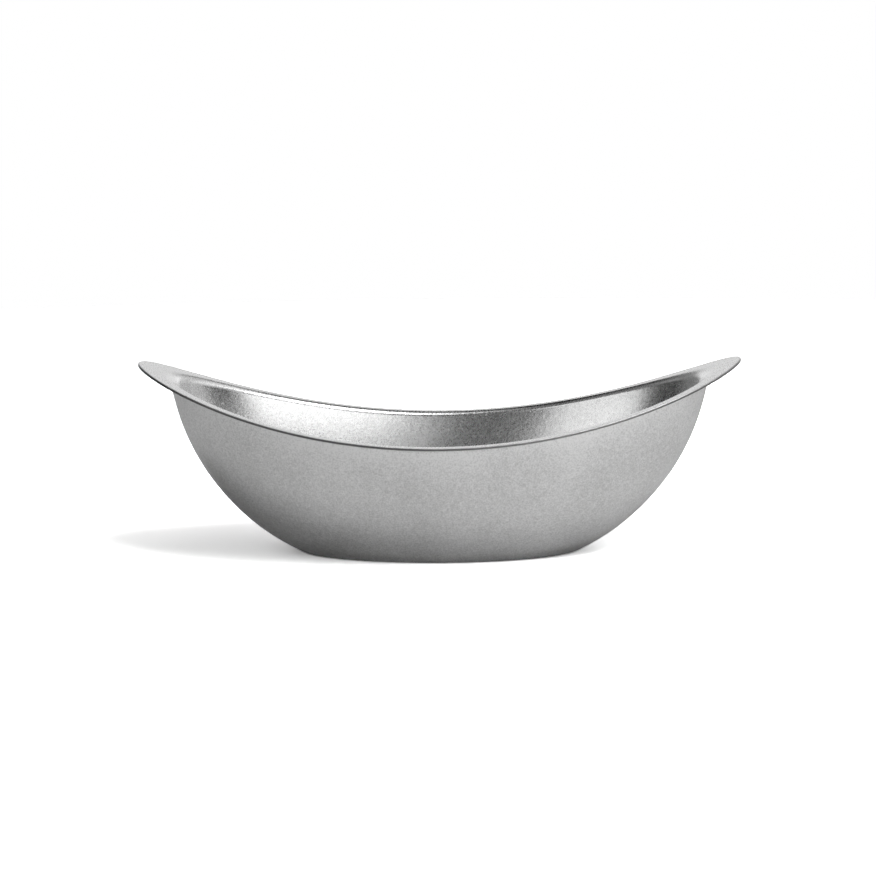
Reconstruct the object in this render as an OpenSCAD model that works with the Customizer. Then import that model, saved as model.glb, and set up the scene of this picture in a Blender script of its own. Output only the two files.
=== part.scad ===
// Sauce boat pressed from one sheet of steel: a flat oval base, a curved wall and a rim that is
// turned out all round, narrow along the sides and drawn into a broad pouring lip at each end.
// The boat stands on z = 0, its length lies along X and its width along Y.

/* [Overall] */
// Length from tip to tip
boat_len = 200; // [160:1:240]
// Width across the rim at mid-length
boat_w = 92; // [76:1:112]
// Height of the rim at the middle of each side
side_h = 41.2; // [34:0.2:50]
// How much higher the two tips are than the middle of the sides
tip_rise = 23.3; // [14:0.1:28]

/* [Rim] */
// How far each pouring lip stands out beyond the fullest level of the bowl
tip_lip = 10; // [6:0.2:16]
// How far the rim stands out from the wall at the middle of each side
side_lip = 4.6; // [3.4:0.2:9]
// Radius on top of the bend between wall and rim
bend_r = 2; // [1.4:0.1:3]
// Radius on top of the same bend at the two tips, where the lip runs softly into the bowl
tip_bend_r = 5; // [2:0.5:8]

/* [Bowl] */
// Length of the base, measured to where the wall's curve meets the table
base_len = 93; // [76:1:114]
// Radius of the end walls' curve, seen from the side
wall_r = 75.5; // [62:0.5:92]
// Outer radius where the base turns up into the wall
base_r = 5; // [4:0.5:9]

/* [Sheet] */
// Thickness of the sheet
sheet_t = 0.8; // [0.6:0.1:1.2]
// Radius on the two corners of the cut edge
edge_r = 0.25; // [0.1:0.05:0.3]

/* [Smoothness] */
// Points round the boat
stations = 72; // [48:8:96]
// Rows of points up the wall
wall_rows = 8; // [6:1:14]

/* [Hidden] */

steel = [0.74, 0.74, 0.73];
corner_rows = 3;
bend_rows = 4;
lip_rows = 2;
round_steps = 3;

// The rim lies on a cylinder across the boat, so it dips in the middle like a saddle.
half_len = boat_len / 2;
half_w = boat_w / 2;
saddle_r = (half_len * half_len + tip_rise * tip_rise) / (2 * tip_rise);
saddle_z = side_h + saddle_r;
under_r = saddle_r + sheet_t;

// The wall's profile is one arc, seen from the side: its centre stands wall_h above the table.
wall_x = half_len - tip_lip - wall_r;
wall_h = sqrt(pow(wall_r, 2) - pow(base_len / 2 - wall_x, 2));

// The corner between base and wall is an arc that touches the table and the wall's arc.
corner_x = wall_x + sqrt(pow(wall_r - base_r, 2) - pow(wall_h - base_r, 2));
corner_end = atan2(base_r - wall_h, corner_x - wall_x);
corner_z = base_r + base_r * sin(corner_end);

// Every level section of the bowl is an ellipse of the same proportion.
oval = (half_w - side_lip) / wall_reach(side_h);

// Half-length of the bowl's outside at height z
function wall_reach(z) = wall_x + sqrt(pow(wall_r, 2) - pow(z - wall_h, 2));

// Height of the rim's underside at x, and its slope there
function under_z(x) = saddle_z - sqrt(under_r * under_r - x * x);
function under_slope(x) = x / sqrt(under_r * under_r - x * x);

function unit(v) = v / norm(v);

// A point on the bowl, and the wall's outward normal for a profile that climbs along [da, dz]
function on_bowl(a, u, z) = [a * cos(u), oval * a * sin(u), z];
function bowl_out(u, da, dz) = unit([oval * dz * cos(u), dz * sin(u), -oval * da]);
function wall_out(u, z) = bowl_out(u, (wall_h - z) / wall_r, (wall_reach(z) - wall_x) / wall_r);

// Height at which the wall meets the rim's underside at angle u: each pass comes closer.
function meet_z(u, z, passes = 8) =
    passes == 0 ? z : meet_z(u, under_z(wall_reach(z) * cos(u)), passes - 1);

// Distance along the level direction d, from p to the oval outline of the rim
function to_outline(p, d) =
    let (
        a = pow(d.x / half_len, 2) + pow(d.y / half_w, 2),
        b = p.x * d.x / pow(half_len, 2) + p.y * d.y / pow(half_w, 2),
        c = pow(p.x / half_len, 2) + pow(p.y / half_w, 2) - 1
    )
    (sqrt(b * b - a * c) - b) / a;

function slerp(v, w, t) =
    let (angle = acos(v * w))
    (v * sin((1 - t) * angle) + w * sin(t * angle)) / sin(angle);

// The sheet's outer face at one station, from the base to the cut edge.
// Each entry is a point and the direction through the sheet, towards the inside of the bowl.
function outer_side(u) =
    let (
        z = meet_z(u, side_h),
        crossing = on_bowl(wall_reach(z), u, z),
        w_out = wall_out(u, z),
        f_down = unit([under_slope(crossing.x), 0, -1]),
        crook_r = bend_r + (tip_bend_r - bend_r) * pow(cos(u), 8) - sheet_t,
        crook = crossing + crook_r * (w_out + f_down) / (1 + w_out * f_down),
        wall_top = crook - crook_r * w_out,
        top_u = atan2(wall_top.y / oval, wall_top.x),
        turn = top_u - u - 360 * round((top_u - u) / 360),
        lip_start = crook - crook_r * f_down,
        level = unit([w_out.x, w_out.y, 0]),
        full_w = to_outline(lip_start, level),
        tilt = atan(under_slope(lip_start.x + level.x * full_w) * level.x),
        lip_w = full_w - edge_r * (1 - sin(tilt))
    )
    [
        for (i = [0 : corner_rows])
            let (angle = -90 + (corner_end + 90) * i / corner_rows)
            [
                on_bowl(corner_x + base_r * cos(angle), u, base_r + base_r * sin(angle)),
                -bowl_out(u, -sin(angle), cos(angle))
            ],
        for (i = [1 : wall_rows])
            let (
                part = i / wall_rows,
                row_z = corner_z + (wall_top.z - corner_z) * part,
                row_u = u + turn * part
            )
            [on_bowl(wall_reach(row_z), row_u, row_z), -wall_out(row_u, row_z)],
        for (i = [1 : bend_rows])
            let (through = slerp(-w_out, -f_down, i / bend_rows))
            [crook + crook_r * through, through],
        for (i = [1 : lip_rows])
            let (p = lip_start + level * lip_w * i / lip_rows)
            [[p.x, p.y, under_z(p.x)], unit([-under_slope(p.x), 0, 1])]
    ];

// The cut edge at one station: a flat band between two rounded corners
function cut_edge(last, level) =
    let (
        through = last[1],
        out = unit(level - through * (level * through)),
        corner = [for (i = [1 : round_steps]) 90 * i / round_steps]
    )
    [
        for (angle = corner)
            last[0] + out * edge_r * sin(angle) + through * edge_r * (1 - cos(angle)),
        for (angle = corner)
            last[0] + out * edge_r * cos(angle) + through * (sheet_t - edge_r * (1 - sin(angle)))
    ];

// One station's whole outline: up the outside, round the cut edge and down the inside
function station(u) =
    let (
        side = outer_side(u),
        last = side[len(side) - 1],
        before = side[len(side) - 2],
        level = unit([last[0].x - before[0].x, last[0].y - before[0].y, 0]),
        inside = [for (i = [len(side) - 1 : -1 : 0]) side[i][0] + side[i][1] * sheet_t],
        edge = cut_edge(last, level)
    )
    concat([for (s = side) s[0]], edge, [for (i = [1 : len(inside) - 1]) inside[i]]);

// The boat is one closed sheet: outlines joined station to station, and the flat middle of the base.
module boat() {
    rings = [for (k = [0 : stations - 1]) station(360 * k / stations)];
    rows = len(rings[0]);
    function at(k, r) = (k % stations) * rows + r;
    underside = [for (k = [0 : stations - 1]) at(k, 0)];
    floor_inside = [for (k = [stations - 1 : -1 : 0]) at(k, rows - 1)];
    color(steel) polyhedron(
        points = [for (ring = rings) each ring],
        faces = [
            underside,
            floor_inside,
            for (k = [0 : stations - 1], r = [0 : rows - 2]) each [
                [at(k, r), at(k, r + 1), at(k + 1, r + 1)],
                [at(k, r), at(k + 1, r + 1), at(k + 1, r)]
            ]
        ],
        convexity = 6
    );
}

boat();
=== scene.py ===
# %% [markdown]
# # A sauce boat of tumbled steel
#
# The object is a boat-shaped sauce dish, pressed from one sheet of stainless steel. It has a flat oval
# base, a curved wall and a rim that is turned out all round and drawn into a pouring lip at each end.
# It is one piece, so this lesson is about one shape and one finish: a surface that follows a rule,
# built with Geometry Nodes, and a grey steel that was tumbled among stones until its shine went soft.
#
# The first step loads the design model. It gives the frame that everything is placed in: metres, the
# length along X, and the table at z = 0.

# %% Load the design model
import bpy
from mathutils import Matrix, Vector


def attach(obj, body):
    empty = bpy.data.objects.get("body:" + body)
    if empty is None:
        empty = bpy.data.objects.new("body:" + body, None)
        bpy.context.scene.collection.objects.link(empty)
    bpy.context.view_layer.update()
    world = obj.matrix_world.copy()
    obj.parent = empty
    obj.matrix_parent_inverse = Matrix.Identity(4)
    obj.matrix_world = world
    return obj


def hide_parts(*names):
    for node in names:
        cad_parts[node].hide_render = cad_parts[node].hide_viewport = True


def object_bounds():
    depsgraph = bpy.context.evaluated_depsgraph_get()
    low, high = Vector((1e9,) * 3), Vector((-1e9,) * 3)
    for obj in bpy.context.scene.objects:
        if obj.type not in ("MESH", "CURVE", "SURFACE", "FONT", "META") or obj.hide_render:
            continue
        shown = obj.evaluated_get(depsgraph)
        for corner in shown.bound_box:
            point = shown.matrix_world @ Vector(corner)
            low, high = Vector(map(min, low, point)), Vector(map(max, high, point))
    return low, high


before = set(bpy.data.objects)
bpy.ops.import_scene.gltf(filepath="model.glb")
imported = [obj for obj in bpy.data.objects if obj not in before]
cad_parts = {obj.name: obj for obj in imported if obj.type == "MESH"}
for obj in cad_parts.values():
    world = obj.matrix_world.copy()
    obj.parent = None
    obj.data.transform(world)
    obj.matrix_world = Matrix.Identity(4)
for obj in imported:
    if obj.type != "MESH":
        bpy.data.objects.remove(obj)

import ast
import math

import bmesh
import bpy
from mathutils import Matrix, Vector

cad_box = [list(corner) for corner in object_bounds()]
MM = 0.001
cad_size = [round((high - low) / MM, 2) for low, high in zip(*cad_box)]
print("design model, mm:", cad_size)

# %% [markdown]
# ## The camera
#
# The boat is seen from the side and a little from above, as if from a chair at the table. A long
# lens and a small angle flatten the rim to a thin band, which shows its saddle shape. The camera
# stands on a line that is described by its turn round the boat and its angle above the table, and it
# looks at a point on the boat's middle.

# %% Camera
VIEW_DISTANCE = 600 * MM
VIEW_TURN = math.radians(1.28)
VIEW_RISE = math.radians(8.45)
VIEW_ROLL = math.radians(0.58)
LOOK_AT = Vector((-0.46, 0, 37.8)) * MM
LENS = 73.7
SENSOR_WIDTH = 36

camera_data = bpy.data.cameras.new("table_view")
camera_data.lens = LENS
camera_data.sensor_width = SENSOR_WIDTH
camera_data.clip_start = 10 * MM
camera = bpy.data.objects.new("table_view", camera_data)
bpy.context.collection.objects.link(camera)

backwards = Vector((
    math.sin(VIEW_TURN) * math.cos(VIEW_RISE),
    -math.cos(VIEW_TURN) * math.cos(VIEW_RISE),
    math.sin(VIEW_RISE),
))
aim = (-backwards).to_track_quat("-Z", "Y").to_matrix()
camera.matrix_world = Matrix.Translation(LOOK_AT + backwards * VIEW_DISTANCE) @ (
    aim @ Matrix.Rotation(-VIEW_ROLL, 3, "Z")
).to_4x4()
bpy.context.scene.camera = camera
print("camera at, mm:", [round(v / MM) for v in camera.location])

# %% [markdown]
# ## Adding nodes
#
# Both the shape and the finish are node trees. One small function adds a node: it sets the node's
# own settings, then fills its inputs, either with a number or with a link from another node.

# %% One function that adds a node
def add(tree, kind, inputs=(), **settings):
    made = tree.nodes.new(kind)
    for name, value in settings.items():
        setattr(made, name, value)
    for key, value in dict(inputs).items():
        if isinstance(value, bpy.types.NodeSocket):
            tree.links.new(value, made.inputs[key])
        else:
            made.inputs[key].default_value = value
    return made


# %% [markdown]
# ## Formulas as nodes
#
# The boat's shape is a rule with some sums in it: a radius, a square root, a direction. Wired by
# hand, each sum is a chain of Math nodes that nobody can read. Here the rule is written as formulas
# instead, and `wire` goes through them line by line and adds one Math or Vector Math node for each
# step. A name on the left of an equals sign can be used in the lines after it. `half_turn` and
# `quarter_turn` are angles in radians, as the Math nodes want them.

# %% Turn formulas into Math nodes
SUMS = {
    ast.Add: "ADD",
    ast.Sub: "SUBTRACT",
    ast.Mult: "MULTIPLY",
    ast.Div: "DIVIDE",
    ast.Pow: "POWER",
}
SCALAR_WORDS = {
    "sqrt": "SQRT",
    "sin": "SINE",
    "cos": "COSINE",
    "atan2": "ARCTAN2",
    "acos": "ARCCOSINE",
    "round": "ROUND",
    "least": "MINIMUM",
    "most": "MAXIMUM",
}
VECTOR_WORDS = {"unit": "NORMALIZE", "dot": "DOT_PRODUCT", "length": "LENGTH"}
NUMBER_FROM_VECTORS = ("dot", "length")
ANGLES = {"half_turn": math.pi, "quarter_turn": math.pi / 2}


def is_vector(value):
    return isinstance(value, bpy.types.NodeSocket) and value.type == "VECTOR"


def sum_node(tree, operation, values):
    """One step of a formula: a Vector Math node where a value is a direction, else a Math node."""
    kind = "ShaderNodeVectorMath" if any(is_vector(v) for v in values) else "ShaderNodeMath"
    inputs = dict(enumerate(values))
    if operation == "MULTIPLY" and is_vector(values[0]) != is_vector(values[1]):
        vector, number = sorted(values, key=is_vector, reverse=True)
        inputs = {"Vector": vector, "Scale": number}
        operation = "SCALE"
    return add(tree, kind, inputs, operation=operation).outputs[0]


def wire_one(tree, part, known):
    """The socket, or the plain number, that one part of a formula stands for."""
    if isinstance(part, ast.Constant):
        return float(part.value)
    if isinstance(part, ast.Name):
        return known[part.id]
    if isinstance(part, ast.UnaryOp):
        return sum_node(tree, "MULTIPLY", [wire_one(tree, part.operand, known), -1.0])
    if isinstance(part, ast.BinOp):
        values = [wire_one(tree, side, known) for side in (part.left, part.right)]
        return sum_node(tree, SUMS[type(part.op)], values)
    if isinstance(part, ast.Attribute):
        split = add(tree, "ShaderNodeSeparateXYZ", {0: wire_one(tree, part.value, known)})
        return split.outputs["xyz".index(part.attr)]
    values = [wire_one(tree, value, known) for value in part.args]
    word = part.func.id
    if word == "vec":
        return add(tree, "ShaderNodeCombineXYZ", dict(enumerate(values))).outputs[0]
    if word in VECTOR_WORDS:
        made = add(tree, "ShaderNodeVectorMath", dict(enumerate(values)), operation=VECTOR_WORDS[word])
        return made.outputs[1 if word in NUMBER_FROM_VECTORS else 0]
    return sum_node(tree, SCALAR_WORDS[word], values)


def wire(tree, formulas, known):
    """Adds the nodes for some lines of formulas, and the names on their left to known."""
    for line in ast.parse(formulas).body:
        known[line.targets[0].id] = wire_one(tree, line.value, known)


# %% [markdown]
# ## The shape of the sheet
#
# On the real boat a punch presses the sheet into a die. Three simple surfaces come of it. The base is
# flat. The wall is an arc seen from the side, and every level slice of it is an oval of the same
# proportion. The rim lies on a wide cylinder across the boat, which makes it dip in the middle like a
# saddle. Small radii join them, where the sheet ran over the die's edge.
#
# It could be modelled by hand as a box that is cut and smoothed, but the silhouette is made of true
# arcs, and a hand-pushed mesh would wobble in the reflections. So the sheet is built as five closed
# strips, one above another: base, corner, wall, bend and lip. Each strip starts as an open cylinder.
# `u` is the angle round it and `t` runs from 0 at its foot to 1 at its top, and a formula moves every
# point to its place. A second formula gives the direction through the sheet, which then makes the
# inner face at exactly one thickness from the outer. Each strip also says how bright its steel is: the
# cut edge, the bend and the ring that the boat stands on wear brighter than the rest, and the top of
# the wall is painted brighter, a painted reflection of the lit table in front.

# %% Sizes of the sheet
# Level slices are ovals, so across the boat the base's corner is tighter than its radius says, by the
# square of the oval's proportion. It must stay wider than the sheet, or the inner face folds over.
SHEET = {
    "Length": 200 * MM,
    "Width": 92 * MM,
    "Side height": 41.2 * MM,
    "Tip rise": 23.3 * MM,
    "Tip lip": 10 * MM,
    "Side lip": 4.6 * MM,
    "Bend radius": 2 * MM,
    "Tip bend radius": 5 * MM,
    "Base length": 93 * MM,
    "Wall radius": 75.5 * MM,
    "Base radius": 5 * MM,
    "Sheet": 0.8 * MM,
    "Edge radius": 0.25 * MM,
    "Ripple": 0.03 * MM,
}
STATIONS = 400
RIPPLE_LENGTH = 26 * MM
WELD = 0.004 * MM

# %% The rule, from the sizes to each station round the boat
SADDLE_AND_WALL = """
half_len = length / 2
half_w = width / 2
saddle_r = (half_len ** 2 + tip_rise ** 2) / (tip_rise * 2)
saddle_z = side_height + saddle_r
under_r = saddle_r + sheet
wall_x = half_len - tip_lip - wall_radius
wall_h = sqrt(wall_radius ** 2 - (base_length / 2 - wall_x) ** 2)
corner_x = wall_x + sqrt((wall_radius - base_radius) ** 2 - (wall_h - base_radius) ** 2)
corner_end = atan2(base_radius - wall_h, corner_x - wall_x)
corner_z = base_radius + base_radius * sin(corner_end)
side_reach = wall_x + sqrt(wall_radius ** 2 - (side_height - wall_h) ** 2)
oval = (half_w - side_lip) / side_reach
z = side_height + 0
"""

# The wall climbs until it meets the underside of the rim. Each pass of these lines comes closer.
MEET = """
reach = wall_x + sqrt(wall_radius ** 2 - (z - wall_h) ** 2)
z = saddle_z - sqrt(under_r ** 2 - (reach * cos(u)) ** 2)
"""
PASSES = 6

# One station: where wall and lip would meet, the bend that joins them, and how wide the lip is there.
# The bend softens towards the tips. qa, qb and qc belong to the quadratic that finds the rim's oval.
STATION = """
reach = wall_x + sqrt(wall_radius ** 2 - (z - wall_h) ** 2)
meet = vec(reach * cos(u), oval * reach * sin(u), z)
climb = (reach - wall_x) / wall_radius
spread = (wall_h - z) / wall_radius
wall_out = unit(vec(oval * climb * cos(u), climb * sin(u), -oval * spread))
lip_down = unit(vec(meet.x / sqrt(under_r ** 2 - meet.x ** 2), 0, -1))
crook_r = bend_radius + (tip_bend_radius - bend_radius) * (cos(u) ** 2) ** 4 - sheet
crook = meet + (wall_out + lip_down) * (crook_r / (1 + dot(wall_out, lip_down)))
wall_top = crook - wall_out * crook_r
top_u = atan2(wall_top.y / oval, wall_top.x)
turn = top_u - u - half_turn * 2 * round((top_u - u) / (half_turn * 2))
lip_start = crook - lip_down * crook_r
level = unit(vec(wall_out.x, wall_out.y, 0))
qa = (level.x / half_len) ** 2 + (level.y / half_w) ** 2
qb = lip_start.x * level.x / half_len ** 2 + lip_start.y * level.y / half_w ** 2
qc = (lip_start.x / half_len) ** 2 + (lip_start.y / half_w) ** 2 - 1
full_w = (sqrt(qb ** 2 - qa * qc) - qb) / qa
tip_run = (lip_start.x + level.x * full_w) / under_r
lip_w = full_w - edge_radius * (1 - tip_run * level.x)
"""

# %% Each strip: how many rows it has, where its points go, and the way through the sheet there
# `soft` says how freely the sheet ripples there, and a second value how bright that place is: wear in
# use, and a painted reflection at the top of the wall.
STRIPS = {
    "base": (14, """
rubbed = t ** 12
place = vec(corner_x * t * cos(u), oval * corner_x * t * sin(u), 0)
through = vec(0, 0, 1)
"""),
    "corner": (8, """
rubbed = (1 - t) ** 8
a = (corner_end + quarter_turn) * t - quarter_turn
r = corner_x + base_radius * cos(a)
place = vec(r * cos(u), oval * r * sin(u), base_radius + base_radius * sin(a))
through = unit(vec(-oval * cos(a) * cos(u), -cos(a) * sin(u), -oval * sin(a)))
"""),
    # The top of the wall is painted brighter: a painted reflection of the lit table in front.
    "wall": (52, """
soft = sin(t * half_turn)
rubbed = t ** 7
h = corner_z + (wall_top.z - corner_z) * t
v = u + turn * t
r = wall_x + sqrt(wall_radius ** 2 - (h - wall_h) ** 2)
up = (r - wall_x) / wall_radius
out = (wall_h - h) / wall_radius
place = vec(r * cos(v), oval * r * sin(v), h)
through = unit(vec(-oval * up * cos(v), -up * sin(v), oval * out))
"""),
    "bend": (10, """
rubbed = sin(t * half_turn) * 0.35
whole = acos(dot(wall_out, lip_down))
mix = wall_out * sin((1 - t) * whole) + lip_down * sin(t * whole)
through = unit(mix * -1)
place = crook + through * crook_r
"""),
    "lip": (10, """
rubbed = t ** 14
q = lip_start + level * (lip_w * t)
place = vec(q.x, q.y, saddle_z - sqrt(under_r ** 2 - q.x ** 2))
through = unit(vec(-q.x / sqrt(under_r ** 2 - q.x ** 2), 0, 1))
"""),
}

# The cut edge starts where the lip ends and rounds two corners. Its upper corner wears brightest. Its
# face is painted dark, fading out over both corners: painted shade, for the dark room that the edge
# reflects and the shade under the lip.
CUT_EDGE = """
q = lip_start + level * lip_w
last = vec(q.x, q.y, saddle_z - sqrt(under_r ** 2 - q.x ** 2))
through = unit(vec(-q.x / sqrt(under_r ** 2 - q.x ** 2), 0, 1))
ahead = unit(level - through * dot(level, through))
"""
FIRST_CORNER = """
sheared = sqrt(t)
a = t * quarter_turn
place = last + ahead * (edge_radius * sin(a)) + through * (edge_radius * (1 - cos(a)))
"""
FLAT_BAND = """
sheared = 1 + 0
place = last + ahead * edge_radius + through * (edge_radius + (sheet - edge_radius * 2) * t)
"""
SECOND_CORNER = """
rubbed = t ** 2
sheared = 1 - t
a = t * quarter_turn
place = last + ahead * (edge_radius * cos(a)) + through * (sheet - edge_radius * (1 - sin(a)))
"""
EDGE_STRIPS = ((3, FIRST_CORNER), (2, FLAT_BAND), (3, SECOND_CORNER))

# %% Build the tree
def keep(tree, mesh, name, value, kind="FLOAT"):
    """Stores a value on every point of a mesh, for a later node or for the finish."""
    inputs = {"Geometry": mesh, "Name": name, "Value": value}
    stored = add(tree, "GeometryNodeStoreNamedAttribute", inputs, data_type=kind, domain="POINT")
    return stored.outputs[0]


def kept(tree, name, kind="FLOAT"):
    return add(tree, "GeometryNodeInputNamedAttribute", {"Name": name}, data_type=kind).outputs[0]


def strip(tree, known, rows, formulas):
    """An open cylinder whose points are moved to where the formulas say."""
    local = dict(known)
    wire(tree, formulas, local)
    sizes = {"Vertices": known["stations"], "Side Segments": rows, "Radius": 1.0, "Depth": 1.0}
    tube = add(tree, "GeometryNodeMeshCylinder", sizes, fill_type="NONE")
    mesh = keep(tree, tube.outputs["Mesh"], "through", local["through"], "FLOAT_VECTOR")
    for name in ("soft", "rubbed", "sheared", "hollow"):
        mesh = keep(tree, mesh, name, local.get(name, 0.0))
    placed = add(tree, "GeometryNodeSetPosition", {"Geometry": mesh, "Position": local["place"]})
    return placed.outputs[0]


def sheet_tree(material):
    tree = bpy.data.node_groups.new("pressed_sheet", "GeometryNodeTree")
    tree.interface.new_socket("Geometry", in_out="OUTPUT", socket_type="NodeSocketGeometry")
    for name in SHEET:
        tree.interface.new_socket(name, in_out="INPUT", socket_type="NodeSocketFloat")
    tree.interface.new_socket("Stations", in_out="INPUT", socket_type="NodeSocketInt")
    given = add(tree, "NodeGroupInput")
    known = {socket.name.lower().replace(" ", "_"): socket for socket in given.outputs if socket.name}
    known.update(ANGLES)

    known["p"] = add(tree, "GeometryNodeInputPosition").outputs[0]
    wire(tree, "u = atan2(p.y, p.x)\nt = p.z + 0.5", known)
    wire(tree, SADDLE_AND_WALL, known)
    for _ in range(PASSES):
        wire(tree, MEET, known)
    wire(tree, STATION, known)

    outside = add(tree, "GeometryNodeJoinGeometry")
    for rows, formulas in STRIPS.values():
        tree.links.new(strip(tree, known, rows, formulas), outside.inputs[0])

    # A pressed wall is never quite true: a slow ripple, the same on both faces.
    ripples = {"Scale": 1 / RIPPLE_LENGTH, "Detail": 2.0}
    known["wave"] = add(tree, "ShaderNodeTexNoise", ripples, noise_dimensions="3D").outputs[0]
    known["soft"] = kept(tree, "soft")
    known["way"] = kept(tree, "through", "FLOAT_VECTOR")
    wire(tree, "shift = way * ((wave - 0.5) * ripple * 2 * soft)\nstep = way * sheet", known)
    moved = {"Geometry": outside.outputs[0], "Offset": known["shift"]}
    pressed = add(tree, "GeometryNodeSetPosition", moved)
    stepped = {"Geometry": pressed.outputs[0], "Offset": known["step"]}
    inner = add(tree, "GeometryNodeSetPosition", stepped)
    turned = add(tree, "GeometryNodeFlipFaces", {"Mesh": inner.outputs[0]})
    inside = keep(tree, turned.outputs[0], "hollow", 1.0)

    whole = add(tree, "GeometryNodeJoinGeometry")
    tree.links.new(pressed.outputs[0], whole.inputs[0])
    tree.links.new(inside, whole.inputs[0])
    for rows, formulas in EDGE_STRIPS:
        tree.links.new(strip(tree, known, rows, CUT_EDGE + formulas), whole.inputs[0])
    closed = add(tree, "GeometryNodeMergeByDistance", {"Geometry": whole.outputs[0], "Distance": WELD})
    smooth = add(tree, "GeometryNodeSetShadeSmooth", {"Geometry": closed.outputs[0]})
    real = add(tree, "GeometryNodeRealizeInstances", {"Geometry": smooth.outputs[0]})
    finish = add(tree, "GeometryNodeSetMaterial", {"Geometry": real.outputs[0], "Material": material})
    add(tree, "NodeGroupOutput", {0: finish.outputs[0]})
    return tree


# %% [markdown]
# ## Tumbled stainless steel
#
# The sheet is ordinary 18/10 stainless steel. After pressing, such boats are tumbled for hours in a
# drum of ceramic stones. The stones peen the steel all over, so it has no grain direction: the
# mirror breaks up into thousands of tiny dents, which give a soft grey sheen with a fine sparkle.
# Some stones skid and leave short nicks. The outside is struck most. The hollow is reached less, so
# it stays a little glossier, and edges that stand out wear bright. The top of the wall is painted
# brighter as well: a painted reflection of the lit table in front. The edge was cut on a shear, and
# its
# face is painted a darker grey: painted shade, for the dark room that it reflects and the shade under
# the lip.
#
# It could be drawn as an image, but noise in Object coordinates has a real size in millimetres and
# no seams. Three sizes of pattern do it: the dents, a grain of facets and slow clouds of tone.

# %% The finish
def linear(hex_colour):
    """sRGB hex to the linear colour that nodes work in."""
    parts = [int(hex_colour[i:i + 2], 16) / 255 for i in (1, 3, 5)]
    return (*(v / 12.92 if v <= 0.04045 else ((v + 0.055) / 1.055) ** 2.4 for v in parts), 1.0)


DULL_STEEL = linear("#B8B8B8")
# The bright end of the tone, for wear and for the painted reflection at the top of the wall.
BRIGHT_STEEL = linear("#DCDCDC")
# A darker grey for the cut edge's face: painted shade, for the dark room that the edge reflects and
# the shade under the lip.
PAINTED_EDGE_SHADE = linear("#646464")

# Real tumbling grain is 0.1 to 0.3 mm. It is drawn at about twice that, so that it still shows.
GRAIN = 0.5 * MM
GRAIN_DEPTH = 0.004 * MM
DENT = 1.3 * MM
DENT_DEPTH = 0.026 * MM
MARK_SPACING = 3.4 * MM
NICK_LENGTH = 1.4 * MM
NICK_WIDTH = 0.2 * MM
NICK_DEPTH = 0.02 * MM
DING_WIDTH = 0.9 * MM
DING_DEPTH = 0.03 * MM
CLOUD = 24 * MM

# A mark sits in every cell of a loose pattern. In some cells it is a straight nick, in a few a round
# ding, and it shows where it happens to cross the surface. `tone` goes from dull to bright steel, and
# the weights in it and in `rough` set how much each pattern, each kind of wear and the painted
# reflection at the top of the wall count.
STEEL_RULE = """
gap = coords - mark_at
way = unit(mark_look - half)
along = dot(gap, way) / nick_length
off = length(gap - way * along * nick_length) / nick_width
nick = most(0, 1 - off) * most(0, least(1, 4 - along * along * 4))
ding = most(0, 1 - length(gap) / ding_width) ** 2 * round(mark_look.x - 0.1)
worn = rubbed * (1 - hollow * 0.7) * (0.55 + grain * 0.9)
patch = (grain - 0.5) * 1.8 + (blotch - 0.5) * 0.7 + (cloud - 0.5) * 0.9
tone = 0.45 + patch + worn * 0.5 + nick * 0.6 + ding * 0.3
rough = 0.36 - hollow * 0.08 + (cloud - 0.5) * 0.1 + (grain - 0.5) * 0.14 - worn * 0.03
height = grain + blotch * dent_depth - nick * nick_depth - ding * ding_depth
"""


def tumbled_steel():
    steel = bpy.data.materials.new("tumbled_steel")
    steel.use_nodes = True
    tree = steel.node_tree
    coords = add(tree, "ShaderNodeTexCoord").outputs["Object"]
    grain = add(tree, "ShaderNodeTexNoise", {"Vector": coords, "Scale": 1 / GRAIN, "Detail": 1.5})
    blotch = add(tree, "ShaderNodeTexNoise", {"Vector": coords, "Scale": 1 / DENT, "Detail": 1.0})
    cloud = add(tree, "ShaderNodeTexNoise", {"Vector": coords, "Scale": 1 / CLOUD, "Detail": 3.0})
    mark = add(tree, "ShaderNodeTexVoronoi", {"Vector": coords, "Scale": 1 / MARK_SPACING})
    known = {
        "coords": coords,
        "grain": grain.outputs[0],
        "blotch": blotch.outputs[0],
        "cloud": cloud.outputs[0],
        "mark_look": mark.outputs["Color"],
        "mark_at": mark.outputs["Position"],
        "half": add(tree, "ShaderNodeCombineXYZ", {0: 0.5, 1: 0.5, 2: 0.5}).outputs[0],
        "nick_width": NICK_WIDTH,
        "nick_length": NICK_LENGTH / 2,
        "ding_width": DING_WIDTH,
        "dent_depth": DENT_DEPTH / GRAIN_DEPTH,
        "nick_depth": NICK_DEPTH / GRAIN_DEPTH,
        "ding_depth": DING_DEPTH / GRAIN_DEPTH,
    }
    for name in ("rubbed", "hollow", "sheared"):
        known[name] = add(tree, "ShaderNodeAttribute", attribute_name=name).outputs["Fac"]
    wire(tree, STEEL_RULE, known)
    face_tones = {0: known["tone"], 6: DULL_STEEL, 7: BRIGHT_STEEL}
    face = add(tree, "ShaderNodeMix", face_tones, data_type="RGBA")
    # The cut edge's face is painted darker here: painted shade.
    edge_tones = {0: known["sheared"], 6: face.outputs[2], 7: PAINTED_EDGE_SHADE}
    colour = add(tree, "ShaderNodeMix", edge_tones, data_type="RGBA")
    relief = {"Height": known["height"], "Distance": GRAIN_DEPTH, "Strength": 1.0}
    bump = add(tree, "ShaderNodeBump", relief)
    shader = tree.nodes["Principled BSDF"]
    shader.inputs["Metallic"].default_value = 1.0
    tree.links.new(colour.outputs[2], shader.inputs["Base Color"])
    tree.links.new(known["rough"], shader.inputs["Roughness"])
    tree.links.new(bump.outputs[0], shader.inputs["Normal"])
    return steel


steel = tumbled_steel()
print("finish:", steel.name, "with", len(steel.node_tree.nodes), "nodes")
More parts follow.
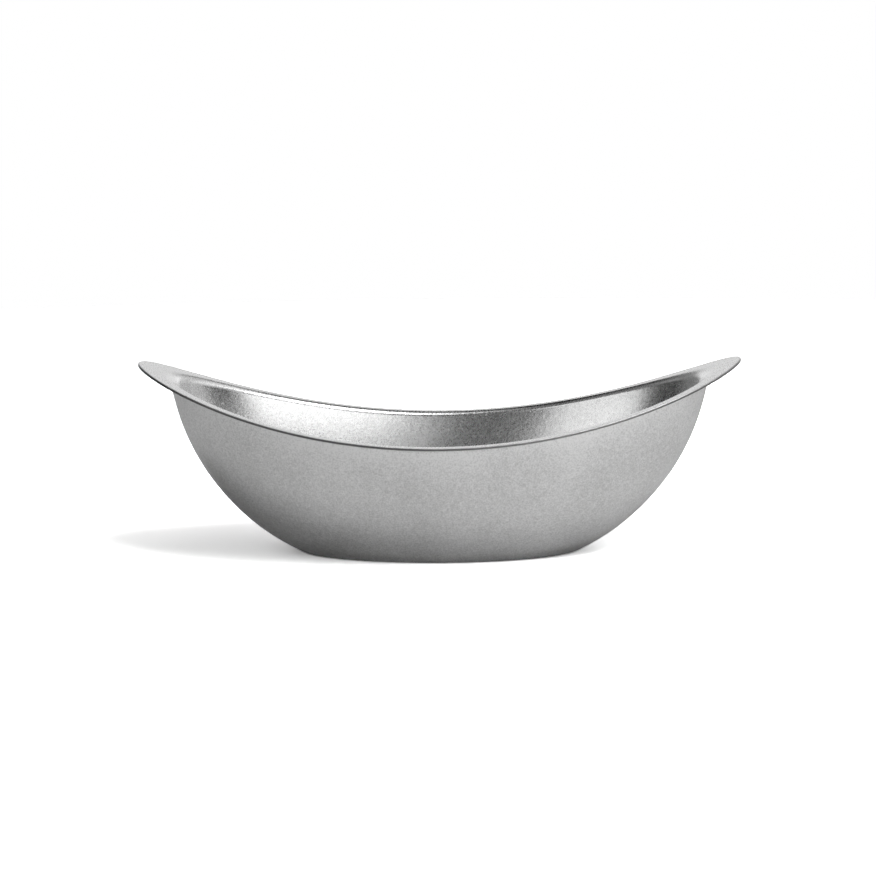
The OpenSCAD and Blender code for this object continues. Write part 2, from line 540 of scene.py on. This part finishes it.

# %% [markdown]
# ## Making the boat
#
# The boat is one pressing, so it is one piece. The tree runs once and its result becomes a plain
# mesh. It takes the place of the design model's boat node, which is hidden, and rides on the root
# body.

# %% Make the boat
sheet_nodes = sheet_tree(steel)
holder = bpy.data.objects.new("boat_shape", bpy.data.meshes.new("boat_shape"))
bpy.context.collection.objects.link(holder)
modifier = holder.modifiers.new("pressed_sheet", "NODES")
modifier.node_group = sheet_nodes
sockets = [item for item in sheet_nodes.interface.items_tree if item.in_out == "INPUT"]
socket_id = {item.name: item.identifier for item in sockets}
for name, value in {**SHEET, "Stations": STATIONS}.items():
    modifier[socket_id[name]] = value
evaluated = holder.evaluated_get(bpy.context.evaluated_depsgraph_get())
shape = bpy.data.meshes.new_from_object(evaluated)
bpy.data.objects.remove(holder)
for spare in ("through", "soft"):
    shape.attributes.remove(shape.attributes[spare])
boat = bpy.data.objects.new("pressed_boat", shape)
bpy.context.collection.objects.link(boat)
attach(boat, "root")
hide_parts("boat")
triangles = sum(len(face.vertices) - 2 for face in shape.polygons)
print("boat:", triangles, "triangles, size mm", [round(v / MM, 2) for v in boat.dimensions])

# %% [markdown]
# ## Table and studio light
#
# Steel shows the room more than itself, so the lights are chosen for their reflections. A square
# softbox hangs high on the right, over the table, and gives the sheen and a soft shadow to the left.
# Lower boxes at the front corners streak the hollow and the wall, with a dark gap between them where
# nobody stands a lamp. The right one stands close to the boat. A lit wall behind edges the rim, and
# dim boxes at the sides and the back fill in the rest. The table is plain pale paper.

# %% The table
TABLE_RADIUS = 1.2
TABLE_SIDES = 96
PAPER = linear("#C8C8C8")
# As in a catalogue, the table is lifted to white for the camera. The steel sees the paper unlifted.
TABLE_LIFT = 4.2

table_mesh = bpy.data.meshes.new("white_table")
table_bm = bmesh.new()
bmesh.ops.create_circle(table_bm, cap_ends=True, segments=TABLE_SIDES, radius=TABLE_RADIUS)
table_bm.to_mesh(table_mesh)
table_bm.free()
table = bpy.data.objects.new("white_table", table_mesh)
bpy.context.collection.objects.link(table)
paper = bpy.data.materials.new("white_paper")
paper.use_nodes = True
paper_tree = paper.node_tree
paper_tree.nodes.remove(paper_tree.nodes["Principled BSDF"])
seen = add(paper_tree, "ShaderNodeLightPath").outputs["Is Camera Ray"]
lifted = [v * TABLE_LIFT for v in PAPER[:3]] + [1.0]
shades = {0: seen, 6: PAPER, 7: lifted}
shade = add(paper_tree, "ShaderNodeMix", shades, data_type="RGBA", clamp_factor=True)
matt = add(paper_tree, "ShaderNodeBsdfDiffuse", {"Color": shade.outputs[2]})
paper_tree.links.new(matt.outputs[0], paper_tree.nodes["Material Output"].inputs["Surface"])
table_mesh.materials.append(paper)

# %% The room and the lamps
ROOM_GLOW = 0.01
# How far off a lamp stands, in metres: across the room, hung over the table, or close to the boat
FAR = 4.0
OVER = 0.7
NEAR = 0.45

world = bpy.data.worlds.new("studio")
bpy.context.scene.world = world
world.use_nodes = True
room = world.node_tree
backdrop = room.nodes["Background"]
backdrop.inputs["Color"].default_value = (1, 1, 1, 1)
# The camera sees a plain white backdrop, while the steel is lit by a dim room and the lamps.
seen = add(room, "ShaderNodeLightPath").outputs["Is Camera Ray"]
room_light = {"seen": seen, "room_glow": ROOM_GLOW}
wire(room, "glow = seen + (1 - seen) * room_glow", room_light)
room.links.new(room_light["glow"], backdrop.inputs["Strength"])


def softbox(name, turn, rise, wide, tall, brightness, away=FAR):
    """A lamp as the boat sees it: direction and size in degrees, and how far off in metres."""
    size = [2 * away * math.tan(math.radians(angle / 2)) for angle in (wide, tall)]
    data = bpy.data.lights.new(name, "AREA")
    data.shape = "RECTANGLE"
    data.size, data.size_y = size
    data.energy = brightness * math.pi * size[0] * size[1]
    lamp = bpy.data.objects.new(name, data)
    bpy.context.collection.objects.link(lamp)
    turn, rise = math.radians(turn), math.radians(rise)
    way = Vector((
        math.sin(turn) * math.cos(rise),
        -math.cos(turn) * math.cos(rise),
        math.sin(rise),
    ))
    lamp.location = way * away
    lamp.rotation_euler = way.to_track_quat("Z", "Y").to_euler()
    lamp.visible_camera = False
    print(name, "brightness", brightness)


softbox("key_softbox", 48, 61, 32, 32, 9.0, OVER)
softbox("right_fill", 88, 40, 56, 44, 0.5)
softbox("overhead_fill", 60, 82, 60, 40, 0.4)
softbox("back_right_softbox", 120, 28, 66, 54, 0.7)
softbox("lit_backdrop", 182, 11, 76, 28, 1.05)
softbox("front_right_softbox", 29, 15, 46, 30, 2.1, NEAR)
softbox("front_left_softbox", -44, 21, 36, 26, 1.6)
softbox("left_fill", -85, 45, 50, 40, 0.2)
softbox("back_left_softbox", -130, 20, 60, 40, 0.25)
bpy.context.scene.view_settings.view_transform = "Standard"
